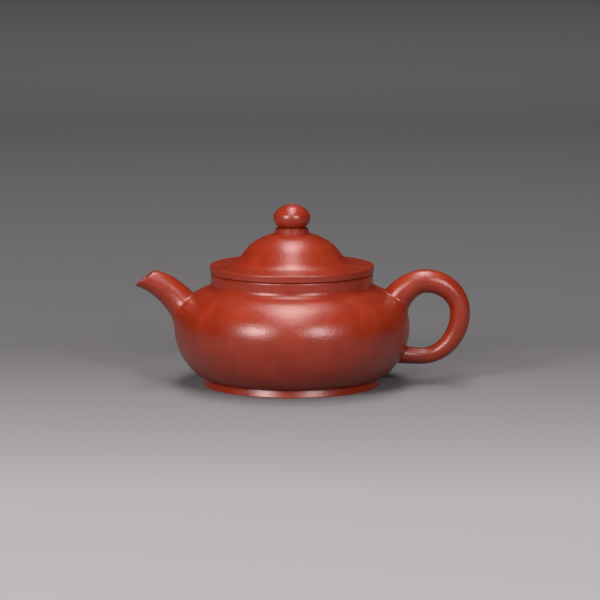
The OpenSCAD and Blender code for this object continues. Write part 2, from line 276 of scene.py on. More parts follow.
@dataclass(frozen=True)
class BodyCurve:
    """Outer curve of the round body: three arcs that run on smoothly from one another."""

    belly_r: float = 51.0
    belly_z: float = 25.0
    lower_r: float = 26.0
    upper_r: float = 16.0
    shoulder_r: float = 50.0
    shoulder_angle: float = 60.0

    @property
    def lower_c(self) -> np.ndarray:
        """Returns the centre of the arc below the widest line."""
        return np.array([self.belly_r - self.lower_r, self.belly_z])

    @property
    def upper_c(self) -> np.ndarray:
        """Returns the centre of the arc above the widest line."""
        return np.array([self.belly_r - self.upper_r, self.belly_z])

    @property
    def shoulder_c(self) -> np.ndarray:
        """Returns the centre of the shoulder's arc."""
        return self.upper_c - (self.shoulder_r - self.upper_r) * heading(self.shoulder_angle)

    def shoulder_z(self, radius: float) -> float:
        """Returns the height of the shoulder at a radius."""
        return self.shoulder_c[1] + math.sqrt(
            self.shoulder_r**2 - (radius - self.shoulder_c[0]) ** 2
        )

    def stand_off(self, points: np.ndarray) -> tuple[np.ndarray, np.ndarray]:
        """Finds how far points stand off the body's surface, and in which direction.

        Args:
            points: Points in space, one row each.

        Returns:
            The heights above the surface, and the surface's outward directions.
        """
        radius = np.hypot(points[:, 0], points[:, 1])
        flat = np.column_stack([radius, points[:, 2]])
        upper = flat - self.upper_c
        on_lower = flat[:, 1] < self.belly_z
        on_shoulder = np.arctan2(upper[:, 1], upper[:, 0]) > math.radians(self.shoulder_angle)
        centre = np.where(on_shoulder[:, None], self.shoulder_c, self.upper_c)
        centre = np.where(on_lower[:, None], self.lower_c, centre)
        reach = np.where(on_shoulder, self.shoulder_r, self.upper_r)
        reach = np.where(on_lower, self.lower_r, reach)
        out = flat - centre
        length = np.linalg.norm(out, axis=1)
        slope = out / length[:, None]
        around = points[:, :2] / radius[:, None]
        return length - reach, np.column_stack([slope[:, :1] * around, slope[:, 1]])

    def pressed(self, points: np.ndarray, height: np.ndarray) -> np.ndarray:
        """Moves points square to the surface until they stand off it by given heights.

        Args:
            points: Points near the surface.
            height: Height wanted for each point.

        Returns:
            The moved points.
        """
        found, out = self.stand_off(points)
        return points + (height - found)[:, None] * out


# ---------------------------------------------------------------- swept pieces and their roots


def cubic(edge: np.ndarray, share: np.ndarray) -> np.ndarray:
    """Returns the points of a cubic curve at shares of its run."""
    t = share[:, None]
    return (
        (1 - t) ** 3 * edge[0]
        + 3 * (1 - t) ** 2 * t * edge[1]
        + 3 * (1 - t) * t**2 * edge[2]
        + t**3 * edge[3]
    )


def cubic_run(edge: np.ndarray, share: np.ndarray) -> np.ndarray:
    """Returns the directions of a cubic curve at shares of its run."""
    t = share[:, None]
    return (
        3 * (1 - t) ** 2 * (edge[1] - edge[0])
        + 6 * (1 - t) * t * (edge[2] - edge[1])
        + 3 * t**2 * (edge[3] - edge[2])
    )


@dataclass(frozen=True)
class Root:
    """The hollow of smoothed clay where a swept piece is luted to the body."""

    curve: BodyCurve
    # Height of the hollow on the swept piece, at its outer side, its flanks and its inner side
    heights: tuple[float, float, float]
    # Width of the hollow on the body, at the same three places
    widths: tuple[float, float, float]
    steps: int = 9
    # How far the last row is run out and sunk, so that no gap shows at the hollow's edge
    run_out: float = 0.5
    sunk: float = 0.15

    def around(self, angles: np.ndarray, sizes: tuple[float, float, float]) -> np.ndarray:
        """Spreads three sizes smoothly round a ring.

        Args:
            angles: Angles round the ring, from its outer side.
            sizes: Sizes at the outer side, the flanks and the inner side.

        Returns:
            One size for each angle.
        """
        outer, flank, inner = sizes
        share = (1 - np.cos(angles)) / 2
        slope, bend = 4 * flank - 3 * outer - inner, 2 * (outer + inner - 2 * flank)
        return outer + slope * share + bend * share**2

    def crossing(
        self, surface: Surface, angles: np.ndarray, spots: np.ndarray, level: np.ndarray
    ) -> np.ndarray:
        """Finds where each line along a sweep first stands off the body by a given height.

        Args:
            surface: The sweep, as a function of run and angle.
            angles: Angles of the lines.
            spots: Runs to look at, in order, starting inside the body.
            level: Height wanted for each line.

        Returns:
            The run of each line at that height.
        """
        run, angle = np.meshgrid(spots, angles, indexing="ij")
        heights, _ = self.curve.stand_off(surface(run.ravel(), angle.ravel()))
        heights = heights.reshape(run.shape)
        first = np.maximum((heights >= level).argmax(axis=0), 1)
        column = np.arange(len(angles))
        before, after = heights[first - 1, column], heights[first, column]
        share = (level - before) / (after - before)
        return spots[first - 1] + share * (spots[first] - spots[first - 1])

    def rows(
        self, surface: Surface, angles: np.ndarray, spots: np.ndarray
    ) -> tuple[np.ndarray, np.ndarray]:
        """Shapes the hollow, from its sunk edge on the body up to the swept piece.

        Args:
            surface: The sweep, as a function of run and angle.
            angles: Angles round the sweep.
            spots: Runs to look at, starting inside the body.

        Returns:
            Rows of points, and the run at which each line of the sweep takes over.
        """
        height = self.around(angles, self.heights)
        width = self.around(angles, self.widths)
        meet = surface(self.crossing(surface, angles, spots, np.zeros(len(angles))), angles)
        start = self.crossing(surface, angles, spots, height)
        top = surface(start, angles)
        _, out = self.curve.stand_off(meet)
        along = np.roll(meet, -1, axis=0) - np.roll(meet, 1, axis=0)
        away = np.cross(along, out)
        away /= np.linalg.norm(away, axis=1)[:, None]
        away *= np.sign(np.sum(away * (meet - meet.mean(axis=0)), axis=1))[:, None]
        nothing = np.zeros(len(angles))
        foot = self.curve.pressed(meet + width[:, None] * away, nothing)
        edge = self.curve.pressed(foot + self.run_out * away, nothing - self.sunk)
        rows = [edge]
        for share in np.linspace(0, 1, self.steps + 1)[:-1]:
            point = (1 - share) ** 2 * foot + 2 * share * (1 - share) * meet + share**2 * top
            rows.append(self.curve.pressed(point, share**2 * height))
        return np.array(rows), start


# ---------------------------------------------------------------- finishes


class Effects:
    """Node groups for what the clay finishes share, each built once."""

    def __init__(self) -> None:
        """Builds the groups."""
        self.grain = self._grain()
        self.turning = self._turning()
        self.strokes = self._strokes()
        self.firing = self._firing()

    @staticmethod
    def place(tree: bpy.types.NodeTree, kind: str, **settings: object) -> bpy.types.Node:
        """Places a node in a tree.

        Args:
            tree: The tree.
            kind: The node's type.
            **settings: Its properties.

        Returns:
            The node.
        """
        node = tree.nodes.new(kind)
        for name, value in settings.items():
            setattr(node, name, value)
        return node

    @classmethod
    def reckon(
        cls, tree: bpy.types.NodeTree, operation: str, *values: object, clamp: bool = False
    ) -> bpy.types.NodeSocket:
        """Places a Math node.

        Args:
            tree: The tree.
            operation: The node's operation.
            *values: Numbers, or sockets to link, one for each of its inputs.
            clamp: Whether the result is kept from 0 to 1.

        Returns:
            The node's result.
        """
        node = cls.place(tree, "ShaderNodeMath", operation=operation, use_clamp=clamp)
        for socket, value in zip(node.inputs, values):
            if isinstance(value, bpy.types.NodeSocket):
                tree.links.new(value, socket)
            else:
                socket.default_value = value
        return node.outputs[0]

    @classmethod
    def noise(
        cls,
        tree: bpy.types.NodeTree,
        vector: bpy.types.NodeSocket,
        scale: object,
        detail: float,
        roughness: float = 0.5,
    ) -> bpy.types.NodeSocket:
        """Places a noise texture.

        Args:
            tree: The tree.
            vector: Where the texture is read.
            scale: Its scale, as a number or a socket.
            detail: Its detail.
            roughness: Share of each finer layer.

        Returns:
            The texture's value.
        """
        node = cls.place(tree, "ShaderNodeTexNoise")
        tree.links.new(vector, node.inputs["Vector"])
        if isinstance(scale, bpy.types.NodeSocket):
            tree.links.new(scale, node.inputs["Scale"])
        else:
            node.inputs["Scale"].default_value = scale
        node.inputs["Detail"].default_value = detail
        node.inputs["Roughness"].default_value = roughness
        return node.outputs[0]

    @classmethod
    def spread(
        cls,
        tree: bpy.types.NodeTree,
        value: bpy.types.NodeSocket,
        source: tuple[float, float],
        target: tuple[float, float],
    ) -> bpy.types.NodeSocket:
        """Places a clamped Map Range node.

        Args:
            tree: The tree.
            value: The value to map.
            source: Its low and high end.
            target: What these two ends become.

        Returns:
            The mapped value.
        """
        node = cls.place(tree, "ShaderNodeMapRange")
        tree.links.new(value, node.inputs["Value"])
        for name, number in zip(("From Min", "From Max", "To Min", "To Max"), (*source, *target)):
            node.inputs[name].default_value = number
        return node.outputs[0]

    @classmethod
    def blend(
        cls,
        tree: bpy.types.NodeTree,
        share: bpy.types.NodeSocket,
        first: object,
        second: object,
    ) -> bpy.types.NodeSocket:
        """Places a colour mix.

        Args:
            tree: The tree.
            share: Share of the second colour.
            first: First colour, as a colour or a socket.
            second: Second colour, likewise.

        Returns:
            The mixed colour.
        """
        node = cls.place(tree, "ShaderNodeMix", data_type="RGBA")
        tree.links.new(share, node.inputs[0])
        for socket, value in zip((node.inputs[6], node.inputs[7]), (first, second)):
            if isinstance(value, bpy.types.NodeSocket):
                tree.links.new(value, socket)
            else:
                socket.default_value = (*value, 1.0)
        return node.outputs[2]

    @classmethod
    def _group(
        cls, name: str, inputs: dict[str, object], outputs: dict[str, str]
    ) -> tuple[bpy.types.NodeTree, bpy.types.Node, bpy.types.Node]:
        """Starts a node group.

        Args:
            name: Name of the group.
            inputs: Each input's name, with "NodeSocketVector" or its starting number.
            outputs: Each output's name and type.

        Returns:
            The tree with its input and output nodes.
        """
        tree = bpy.data.node_groups.new(name, "ShaderNodeTree")
        for label, value in inputs.items():
            if isinstance(value, str):
                tree.interface.new_socket(label, in_out="INPUT", socket_type=value)
            else:
                socket = tree.interface.new_socket(
                    label, in_out="INPUT", socket_type="NodeSocketFloat"
                )
                socket.default_value = value
        for label, kind in outputs.items():
            tree.interface.new_socket(label, in_out="OUTPUT", socket_type=kind)
        return tree, tree.nodes.new("NodeGroupInput"), tree.nodes.new("NodeGroupOutput")

    def _grain(self) -> bpy.types.NodeTree:
        """Builds the clay's grain: fine pits, a soft unevenness, blotches and sand specks.

        Returns:
            The group.
        """
        tree, entry, leave = self._group(
            "clay_grain",
            {
                "Vector": "NodeSocketVector",
                "Grain Scale": 1400.0,
                "Blotch Scale": 110.0,
                "Speck Scale": 900.0,
            },
            {
                "Height": "NodeSocketFloat",
                "Blotch": "NodeSocketFloat",
                "Speck": "NodeSocketFloat",
            },
        )
        # Shares of the fine and the soft unevenness, and how much coarser the soft one is
        fine_share, soft_share, soft_ratio = 0.8, 0.2, 0.22
        # Part of the noise over which a blotch goes from deep to bright
        blotch_fade = (0.34, 0.66)
        # Where a speck ends in its cell, and the rare cells that hold one
        speck_fade, rare_fade = (0.12, 0.3), (0.78, 0.9)
        where, scale = entry.outputs["Vector"], entry.outputs["Grain Scale"]
        fine = self.noise(tree, where, scale, 2.0, 0.55)
        soft = self.noise(tree, where, self.reckon(tree, "MULTIPLY", scale, soft_ratio), 2.0)
        fine_part = self.reckon(tree, "MULTIPLY", fine, fine_share)
        soft_part = self.reckon(tree, "MULTIPLY", soft, soft_share)
        height = self.reckon(tree, "ADD", fine_part, soft_part)
        cloudy = self.noise(tree, where, entry.outputs["Blotch Scale"], 4.0, 0.62)
        blotch = self.spread(tree, cloudy, blotch_fade, (0.0, 1.0))
        cells = self.place(tree, "ShaderNodeTexVoronoi", feature="F1")
        tree.links.new(where, cells.inputs["Vector"])
        tree.links.new(entry.outputs["Speck Scale"], cells.inputs["Scale"])
        near = self.spread(tree, cells.outputs["Distance"], speck_fade, (1.0, 0.0))
        pick = self.place(tree, "ShaderNodeSeparateColor")
        tree.links.new(cells.outputs["Color"], pick.inputs[0])
        rare = self.spread(tree, pick.outputs[0], rare_fade, (0.0, 1.0))
        tree.links.new(height, leave.inputs["Height"])
        tree.links.new(blotch, leave.inputs["Blotch"])
        tree.links.new(self.reckon(tree, "MULTIPLY", near, rare), leave.inputs["Speck"])
        return tree

    def _turning(self) -> bpy.types.NodeTree:
        """Builds the faint rings that trimming on the wheel leaves round the axis.

        Returns:
            The group.
        """
        tree, entry, leave = self._group(
            "turning_marks",
            {"Vector": "NodeSocketVector", "Ring Scale": 900.0},
            {"Height": "NodeSocketFloat"},
        )
        # How much the rings change along their way round
        waver = 0.03
        split = self.place(tree, "ShaderNodeSeparateXYZ")
        tree.links.new(entry.outputs["Vector"], split.inputs[0])
        squares = [self.reckon(tree, "POWER", split.outputs[axis], 2.0) for axis in range(2)]
        radius = self.reckon(tree, "SQRT", self.reckon(tree, "ADD", *squares))
        where = self.place(tree, "ShaderNodeCombineXYZ")
        tree.links.new(radius, where.inputs[0])
        tree.links.new(self.reckon(tree, "MULTIPLY", split.outputs[0], waver), where.inputs[1])
        tree.links.new(split.outputs[2], where.inputs[2])
        rings = self.noise(tree, where.outputs[0], entry.outputs["Ring Scale"], 2.0, 0.6)
        tree.links.new(rings, leave.inputs["Height"])
        return tree

    def _strokes(self) -> bpy.types.NodeTree:
        """Builds the short upright strokes that burnishing leaves, all round the axis.

        Returns:
            The group.
        """
        tree, entry, leave = self._group(
            "burnish_strokes",
            {"Vector": "NodeSocketVector", "Stroke Scale": 24.0},
            {"Height": "NodeSocketFloat"},
        )
        # How fast a stroke changes on its way up, which keeps it long
        climb = 6.0
        split = self.place(tree, "ShaderNodeSeparateXYZ")
        tree.links.new(entry.outputs["Vector"], split.inputs[0])
        flat = self.place(tree, "ShaderNodeCombineXYZ")
        tree.links.new(split.outputs[0], flat.inputs[0])
        tree.links.new(split.outputs[1], flat.inputs[1])
        around = self.place(tree, "ShaderNodeVectorMath", operation="NORMALIZE")
        tree.links.new(flat.outputs[0], around.inputs[0])
        turn = self.place(tree, "ShaderNodeSeparateXYZ")
        tree.links.new(around.outputs[0], turn.inputs[0])
        where = self.place(tree, "ShaderNodeCombineXYZ")
        tree.links.new(turn.outputs[0], where.inputs[0])
        tree.links.new(turn.outputs[1], where.inputs[1])
        tree.links.new(self.reckon(tree, "MULTIPLY", split.outputs[2], climb), where.inputs[2])
        strokes = self.noise(tree, where.outputs[0], entry.outputs["Stroke Scale"], 2.0, 0.6)
        tree.links.new(strokes, leave.inputs["Height"])
        return tree

    def _firing(self) -> bpy.types.NodeTree:
        """Builds the colour of the fired clay from its deep and bright tone, with pale specks.

        Returns:
            The group.
        """
        tree, entry, leave = self._group(
            "fired_clay",
            {
                "Blotch": 0.5,
                "Speck": 0.0,
                "Deep": "NodeSocketColor",
                "Bright": "NodeSocketColor",
                "Sand": "NodeSocketColor",
                "Sand Share": 0.3,
            },
            {"Colour": "NodeSocketColor"},
        )
        tone = self.blend(
            tree, entry.outputs["Blotch"], entry.outputs["Deep"], entry.outputs["Bright"]
        )
        share = self.reckon(tree, "MULTIPLY", entry.outputs["Speck"], entry.outputs["Sand Share"])
        colour = self.blend(tree, share, tone, entry.outputs["Sand"])
        tree.links.new(colour, leave.inputs["Colour"])
        return tree


@dataclass(frozen=True)
class ClayFinish:
    """One finish of the unglazed clay."""

    name: str
    deep: tuple[float, float, float]
    bright: tuple[float, float, float]
    sand: tuple[float, float, float]
    sand_share: float
    roughness: tuple[float, float]
    # Depth of grain, rings and strokes, in metres
    grain_depth: float
    ring_depth: float
    stroke_depth: float
    # Strength of the plain reflection. Rubbed clay throws back a little more than raw clay
    shine: float = 0.5

    def material(self, effects: Effects) -> bpy.types.Material:
        """Builds the material.

        Args:
            effects: The shared node groups.

        Returns:
            The material.
        """
        material = bpy.data.materials.new(self.name)
        material.use_nodes = True
        tree = material.node_tree
        shader = tree.nodes["Principled BSDF"]
        shader.inputs["Specular IOR Level"].default_value = self.shine
        where = effects.place(tree, "ShaderNodeTexCoord").outputs["Object"]
        grain, turning, strokes, firing = (
            effects.place(tree, "ShaderNodeGroup", node_tree=group)
            for group in (effects.grain, effects.turning, effects.strokes, effects.firing)
        )
        for node in (grain, turning, strokes):
            tree.links.new(where, node.inputs["Vector"])
        for name, colour in (("Deep", self.deep), ("Bright", self.bright), ("Sand", self.sand)):
            firing.inputs[name].default_value = (*colour, 1.0)
        firing.inputs["Sand Share"].default_value = self.sand_share
        tree.links.new(grain.outputs["Blotch"], firing.inputs["Blotch"])
        tree.links.new(grain.outputs["Speck"], firing.inputs["Speck"])
        tree.links.new(firing.outputs["Colour"], shader.inputs["Base Color"])
        tree.links.new(
            effects.spread(tree, grain.outputs["Blotch"], (0.0, 1.0), self.roughness),
            shader.inputs["Roughness"],
        )
        normal = None
        for source, depth in (
            (turning, self.ring_depth),
            (strokes, self.stroke_depth),
            (grain, self.grain_depth),
        ):
            bump = effects.place(tree, "ShaderNodeBump")
            bump.inputs["Strength"].default_value = 1.0
            bump.inputs["Distance"].default_value = depth
            tree.links.new(source.outputs["Height"], bump.inputs["Height"])
            if normal is not None:
                tree.links.new(normal, bump.inputs["Normal"])
            normal = bump.outputs["Normal"]
        tree.links.new(normal, shader.inputs["Normal"])
        return material


@dataclass
class Finishes:
    """The two finishes of the pot, ready to be laid on its pieces."""

    outside: ClayFinish = ClayFinish(
        name="burnished_red_clay",
        deep=(0.295, 0.0215, 0.0045),
        bright=(0.35, 0.031, 0.0085),
        sand=(0.42, 0.11, 0.055),
        sand_share=0.2,
        roughness=(0.28, 0.33),
        grain_depth=0.00011,
        ring_depth=0.000018,
        stroke_depth=0.000035,
        shine=0.75,
    )
    inside: ClayFinish = ClayFinish(
        name="raw_red_clay",
        deep=(0.21, 0.034, 0.018),
        bright=(0.30, 0.058, 0.032),
        sand=(0.42, 0.16, 0.09),
        sand_share=0.4,
        roughness=(0.56, 0.68),
        grain_depth=0.00005,
        ring_depth=0.00004,
        stroke_depth=0.000010,
    )
    made: dict[Slot, bpy.types.Material] = field(default_factory=dict)

    def mix(self) -> None:
        """Builds both materials."""
        effects = Effects()
        self.made = {
            Slot.OUTSIDE: self.outside.material(effects),
            Slot.INSIDE: self.inside.material(effects),
        }

    def lay(self, piece: bpy.types.Object, slot: Slot) -> None:
        """Gives a piece one of the finishes.

        Args:
            piece: The piece.
            slot: The record's slot that the finish belongs to.
        """
        piece.data.materials.clear()
        piece.data.materials.append(self.made[slot])

    def line_inside(
        self, piece: bpy.types.Object, inside: Callable[[Vector, Vector], bool]
    ) -> None:
        """Adds the raw finish to the faces of a piece that lie inside the pot.

        Args:
            piece: The piece, already in the outer finish.
            inside: Says from a face's middle and direction whether it lies inside.
        """
        piece.data.materials.append(self.made[Slot.INSIDE])
        for face in piece.data.polygons:
            if inside(face.center, face.normal):
                face.material_index = 1


def settle(piece: bpy.types.Object, body: Body, nodes: tuple[str, ...]) -> None:
    """Ties a finished piece to its body and has it stand for construction nodes.

    Args:
        piece: The piece.
        body: The body it moves with.
        nodes: Names of the nodes that it stands for.
    """
    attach(piece, body.value)
    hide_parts(*nodes)
    LOG.info("%s stands for %s", piece.name, ", ".join(nodes))


# ---------------------------------------------------------------- the pot


@dataclass
class Vessel:
    """The round body with its base, shoulder and neck, and the ring that it stands on."""

    curve: BodyCurve
    finishes: Finishes
    wall: float = 2.8
    recess: float = 2.0
    base: float = 2.6
    neck_r: float = 35.1
    mouth_r: float = 30.5
    neck_h: float = 6.1
    neck_hollow: float = 3.2
    # Roundings: outer and inner upper edge of the neck, lower edge of the mouth, and the floor
    neck_edge: float = 1.0
    mouth_edge: float = 0.4
    mouth_low_edge: float = 0.6
    floor_edge: float = 1.6
    # Below this angle the belly turns in more tightly, on to the foot ring
    tuck_angle: float = -47.0
    tuck_r: float = 12.0
    # Rounding of the small step that lies inside the foot ring
    step_edge: float = 0.1
    foot_r: float = 38.6
    foot_w: float = 4.4
    foot_edge: float = 0.4
    # The ring's face leans in towards its upper edge, where the belly sits on it
    foot_top_r: float = 37.65
    foot_top_z: float = 3.3
    foot_top_edge: float = 0.4
    # How far the ring's inner side reaches up into the base, and how its buried edges are rounded
    foot_bury: float = 0.3
    buried_edge: float = 0.05
    outlet_r: float = 3.8
    outlet_angle: float = 31.0

    @property
    def neck_top(self) -> float:
        """Returns the height of the neck's upper edge."""
        return self.curve.shoulder_z(self.neck_r) + self.neck_h

    def outline(self) -> np.ndarray:
        """Draws the wall's section, from the middle of the underside round to the floor inside.

        Returns:
            The outline as radius and height.
        """
        curve, wall = self.curve, self.wall
        floor = self.recess + self.base
        tuck_c = curve.lower_c + (curve.lower_r - self.tuck_r) * heading(self.tuck_angle)
        inner = -math.degrees(math.asin((curve.belly_z - floor) / (curve.lower_r - wall)))
        seat = self.foot_r - self.foot_w / 2
        tuck_z = tuck_c[1] - math.sqrt(self.tuck_r**2 - (seat - tuck_c[0]) ** 2)
        tuck_end = math.degrees(math.atan2(tuck_z - tuck_c[1], seat - tuck_c[0]))
        inner_foot = (curve.lower_c + (curve.lower_r - wall) * heading(inner))[0]
        hollow_x = self.neck_r + self.neck_hollow
        reach = curve.shoulder_r + self.neck_hollow
        lean = math.degrees(math.acos((hollow_x - curve.shoulder_c[0]) / reach))
        hollow_c = curve.shoulder_c + reach * heading(lean)
        lip = math.degrees(
            math.acos((self.mouth_r - curve.shoulder_c[0]) / (curve.shoulder_r - wall))
        )
        lip_z = (curve.shoulder_c + (curve.shoulder_r - wall) * heading(lip))[1]
        top, angle = self.neck_top, curve.shoulder_angle
        runs = [
            (line((0, self.recess), (seat, self.recess)), self.step_edge),
            (line((seat, self.recess), (seat, tuck_z)), self.step_edge),
            (arc(tuck_c, self.tuck_r, tuck_end, self.tuck_angle), SMOOTH),
            (arc(curve.lower_c, curve.lower_r, self.tuck_angle, 0), SMOOTH),
            (arc(curve.upper_c, curve.upper_r, 0, angle), SMOOTH),
            (arc(curve.shoulder_c, curve.shoulder_r, angle, lean), SMOOTH),
            (arc(hollow_c, self.neck_hollow, 180 + lean, 180), SMOOTH),
            (line((self.neck_r, hollow_c[1]), (self.neck_r, top)), self.neck_edge),
            (line((self.neck_r, top), (self.mouth_r, top)), self.mouth_edge),
            (line((self.mouth_r, top), (self.mouth_r, lip_z)), self.mouth_low_edge),
            (arc(curve.shoulder_c, curve.shoulder_r - wall, lip, angle), SMOOTH),
            (arc(curve.upper_c, curve.upper_r - wall, angle, 0), SMOOTH),
            (arc(curve.lower_c, curve.lower_r - wall, 0, inner), self.floor_edge),
            (line((inner_foot, floor), (0, floor)), SMOOTH),
        ]
        return joined(runs, closed=False)

    def ring_outline(self) -> np.ndarray:
        """Draws the foot ring's section. Its upper side lies inside the body.

        Returns:
            The closed outline as radius and height.
        """
        outer, inner = self.foot_r, self.foot_r - self.foot_w
        top, seat = (self.foot_top_r, self.foot_top_z), (inner, self.recess + self.foot_bury)
        ledge = (self.foot_r - self.foot_w / 3, self.foot_top_z)
        runs = [
            (line((inner, 0), (outer, 0)), self.foot_edge),
            (line((outer, 0), top), self.foot_top_edge),
            (line(top, ledge), self.buried_edge),
            (line(ledge, seat), self.buried_edge),
            (line(seat, (inner, 0)), self.foot_edge),
        ]
        return joined(runs, closed=True)

    def bore(self, piece: bpy.types.Object) -> None:
        """Cuts the round outlet into the spout through the wall.

        Args:
            piece: The body, which keeps its name.
        """
        drill_l = 3 * self.wall
        drill = lathe(
            "outlet_drill",
            np.array(
                [[0, -drill_l], [self.outlet_r, -drill_l], [self.outlet_r, drill_l], [0, drill_l]]
            ),
            closed=False,
        )
        middle = self.curve.upper_c + (self.curve.upper_r - self.wall / 2) * heading(
            self.outlet_angle
        )
        drill.rotation_euler = (0, math.radians(self.outlet_angle - 90), 0)
        drill.location = (-middle[0] * MM, 0, middle[1] * MM)
        cut = piece.modifiers.new("outlet", "BOOLEAN")
        cut.operation, cut.solver, cut.object = "DIFFERENCE", "EXACT", drill
        bpy.context.view_layer.update()
        ready = piece.evaluated_get(bpy.context.evaluated_depsgraph_get())
        mesh = bpy.data.meshes.new_from_object(ready)
        piece.modifiers.clear()
        piece.data = mesh
        bpy.data.objects.remove(drill)

    def is_inside(self, middle: Vector, facing: Vector) -> bool:
        """Says whether a face of the body lies inside the pot.

        Args:
            middle: The face's middle.
            facing: The face's outward direction.

        Returns:
            True for the floor, the inner wall and the underside of the shoulder.
        """
        depth, _ = self.curve.stand_off(np.array([middle]) / MM)
        return bool(
            depth[0] < -self.wall / 2
            and middle.z > (self.recess + self.base / 2) * MM
            and math.hypot(middle.x, middle.y) < self.curve.belly_r * MM
            and (middle.z < self.curve.shoulder_z(self.neck_r) * MM or facing.z < 0)
        )

    def build(self) -> None:
        """Builds and dresses the body and its foot ring."""
        shell = lathe("pot_shell", self.outline(), closed=False)
        self.bore(shell)
        self.finishes.lay(shell, Slot.OUTSIDE)
        self.finishes.line_inside(shell, self.is_inside)
        settle(shell, Body.POT, ("base_disc", "belly_wall", "shoulder_disc", "neck_ring"))
        ring = lathe("foot_ring_turned", self.ring_outline(), closed=True)
        self.finishes.lay(ring, Slot.OUTSIDE)
        settle(ring, Body.POT, ("foot_ring",))


@dataclass
class Spout:
    """The short wide spout, hollow, with a rounded lip and a smoothed root."""

    curve: BodyCurve
    finishes: Finishes
    sink: float = 3.0
    reach: float = 16.9
    rise: float = 17.7
    mouth_l: float = 10.7
    mouth_slant: float = 38.0
    mouth_w: float = 9.6
    root_w: float = 21.5
    # Arms of the lower and upper edge's curves, at the root and at the lip
    low_arms: tuple[tuple[float, float], ...] = ((3.6, 7.8), (10.9, 3.5))
    top_arms: tuple[tuple[float, float], ...] = ((6.0, 6.4), (6.9, 0.8))
    # Hollow at the root: see Root
    root_heights: tuple[float, float, float] = (0.8, 2.6, 2.4)
    root_widths: tuple[float, float, float] = (0.9, 1.3, 4.0)
    # How far the bore runs on into the body's wall
    bore_sunk: float = 0.3
    top_angle: float = 66.0
    low_angle: float = 11.0
    wall: float = 1.9
    lip_edge: float = 0.4
    # About how long the skin is, which turns a length into a share of its run
    skin_l: float = 20.0
    # Share of the run in which the root is looked for, and how finely
    search_run: float = 0.9
    search_steps: int = 400
    sides: int = 96
    rings: int = 56

    def edges(self) -> tuple[np.ndarray, np.ndarray]:
        """Draws the lower and the upper edge in the plane of the handle.

        Returns:
            The two cubic curves, each as four points.
        """
        curve = self.curve
        low_root = curve.lower_c + (curve.lower_r - self.sink) * heading(-self.low_angle)
        top_root = curve.upper_c + (curve.upper_r - self.sink) * heading(self.top_angle)
        lip_low = np.array([curve.belly_r + self.reach, curve.belly_z + self.rise])
        lip_top = lip_low + self.mouth_l * heading(180 - self.mouth_slant)
        low = [low_root, low_root + self.low_arms[0], lip_low - self.low_arms[1], lip_low]
        top = [top_root, top_root + self.top_arms[0], lip_top - self.top_arms[1], lip_top]
        return np.array(low), np.array(top)

    def skin_at(self, inset: float) -> Surface:
        """Returns the spout's skin, drawn in by an inset, as a function of run and angle."""
        low_edge, top_edge = self.edges()

        def surface(run: np.ndarray, angle: np.ndarray) -> np.ndarray:
            """Returns points of the skin at runs from root to lip and angles from the top."""
            low, top = cubic(low_edge, run), cubic(top_edge, run)
            half = (top - low) / 2
            half *= (1 - inset / np.linalg.norm(half, axis=1))[:, None]
            share = ease(np.sqrt(np.clip(run, 0, None)))
            width = (self.root_w * (1 - share) + self.mouth_w * share) / 2 - inset
            flat = (top + low) / 2 + half * np.cos(angle)[:, None]
            # The spout is drawn towards +X and turned half round
            return np.column_stack([-flat[:, 0], -width * np.sin(angle), flat[:, 1]])

        return surface

    def lip_rows(self, angles: np.ndarray) -> list[np.ndarray]:
        """Shapes the lip, from the outer skin over its edge to the bore.

        Args:
            angles: Angles round the spout.

        Returns:
            Rows of points.
        """
        full = np.ones(len(angles))
        edge = self.lip_edge

        def turned(outer: float, inner: float) -> list[np.ndarray]:
            """Rounds one edge of the lip, from the skin at one inset to the rim."""
            skin_run = self.skin_at(outer)
            step = 0.01
            drawn = skin_run(full, angles) - skin_run(full - step, angles)
            speed = np.linalg.norm(drawn, axis=1) / step
            back, corner = skin_run(full - edge / speed, angles), skin_run(full, angles)
            rim = self.skin_at(inner)(full, angles)
            share = np.linspace(0, 1, CORNER_POINTS + 2)
            return [
                (1 - s) ** 2 * back + 2 * s * (1 - s) * corner + s**2 * rim for s in share
            ]

        outside = turned(0.0, edge)
        inside = turned(self.wall, self.wall - edge)
        return outside + inside[::-1]

    def build(self) -> None:
        """Builds and dresses the spout."""
        angles = 2 * math.pi * np.arange(self.sides) / self.sides
        root = Root(self.curve, self.root_heights, self.root_widths)
        outer, inner = self.skin_at(0.0), self.skin_at(self.wall)
        spots = np.linspace(0, self.search_run, self.search_steps)
        rows, start = root.rows(outer, angles, spots)
        lip = self.lip_rows(angles)
        stop = 1 - self.lip_edge / self.skin_l
        outside = [
            outer(start + share * (stop - start), angles)
            for share in np.linspace(0, 1, self.rings)[:-1]
        ]
        deep = root.crossing(inner, angles, spots, np.full(len(angles), -self.bore_sunk))
        inside = [
            inner(stop + share * (deep - stop), angles)
            for share in np.linspace(0, 1, self.rings // 2)[1:]
        ]
        points = np.array([*rows, *outside, *lip, *inside])
        numbers = np.arange(points.shape[0] * self.sides).reshape(points.shape[0], self.sides)
        piece = solid(
            "spout_shell", points.reshape(-1, 3), skin(np.vstack([numbers, numbers[:1]]))
        )
        self.finishes.lay(piece, Slot.OUTSIDE)
        settle(piece, Body.POT, ("spout",))


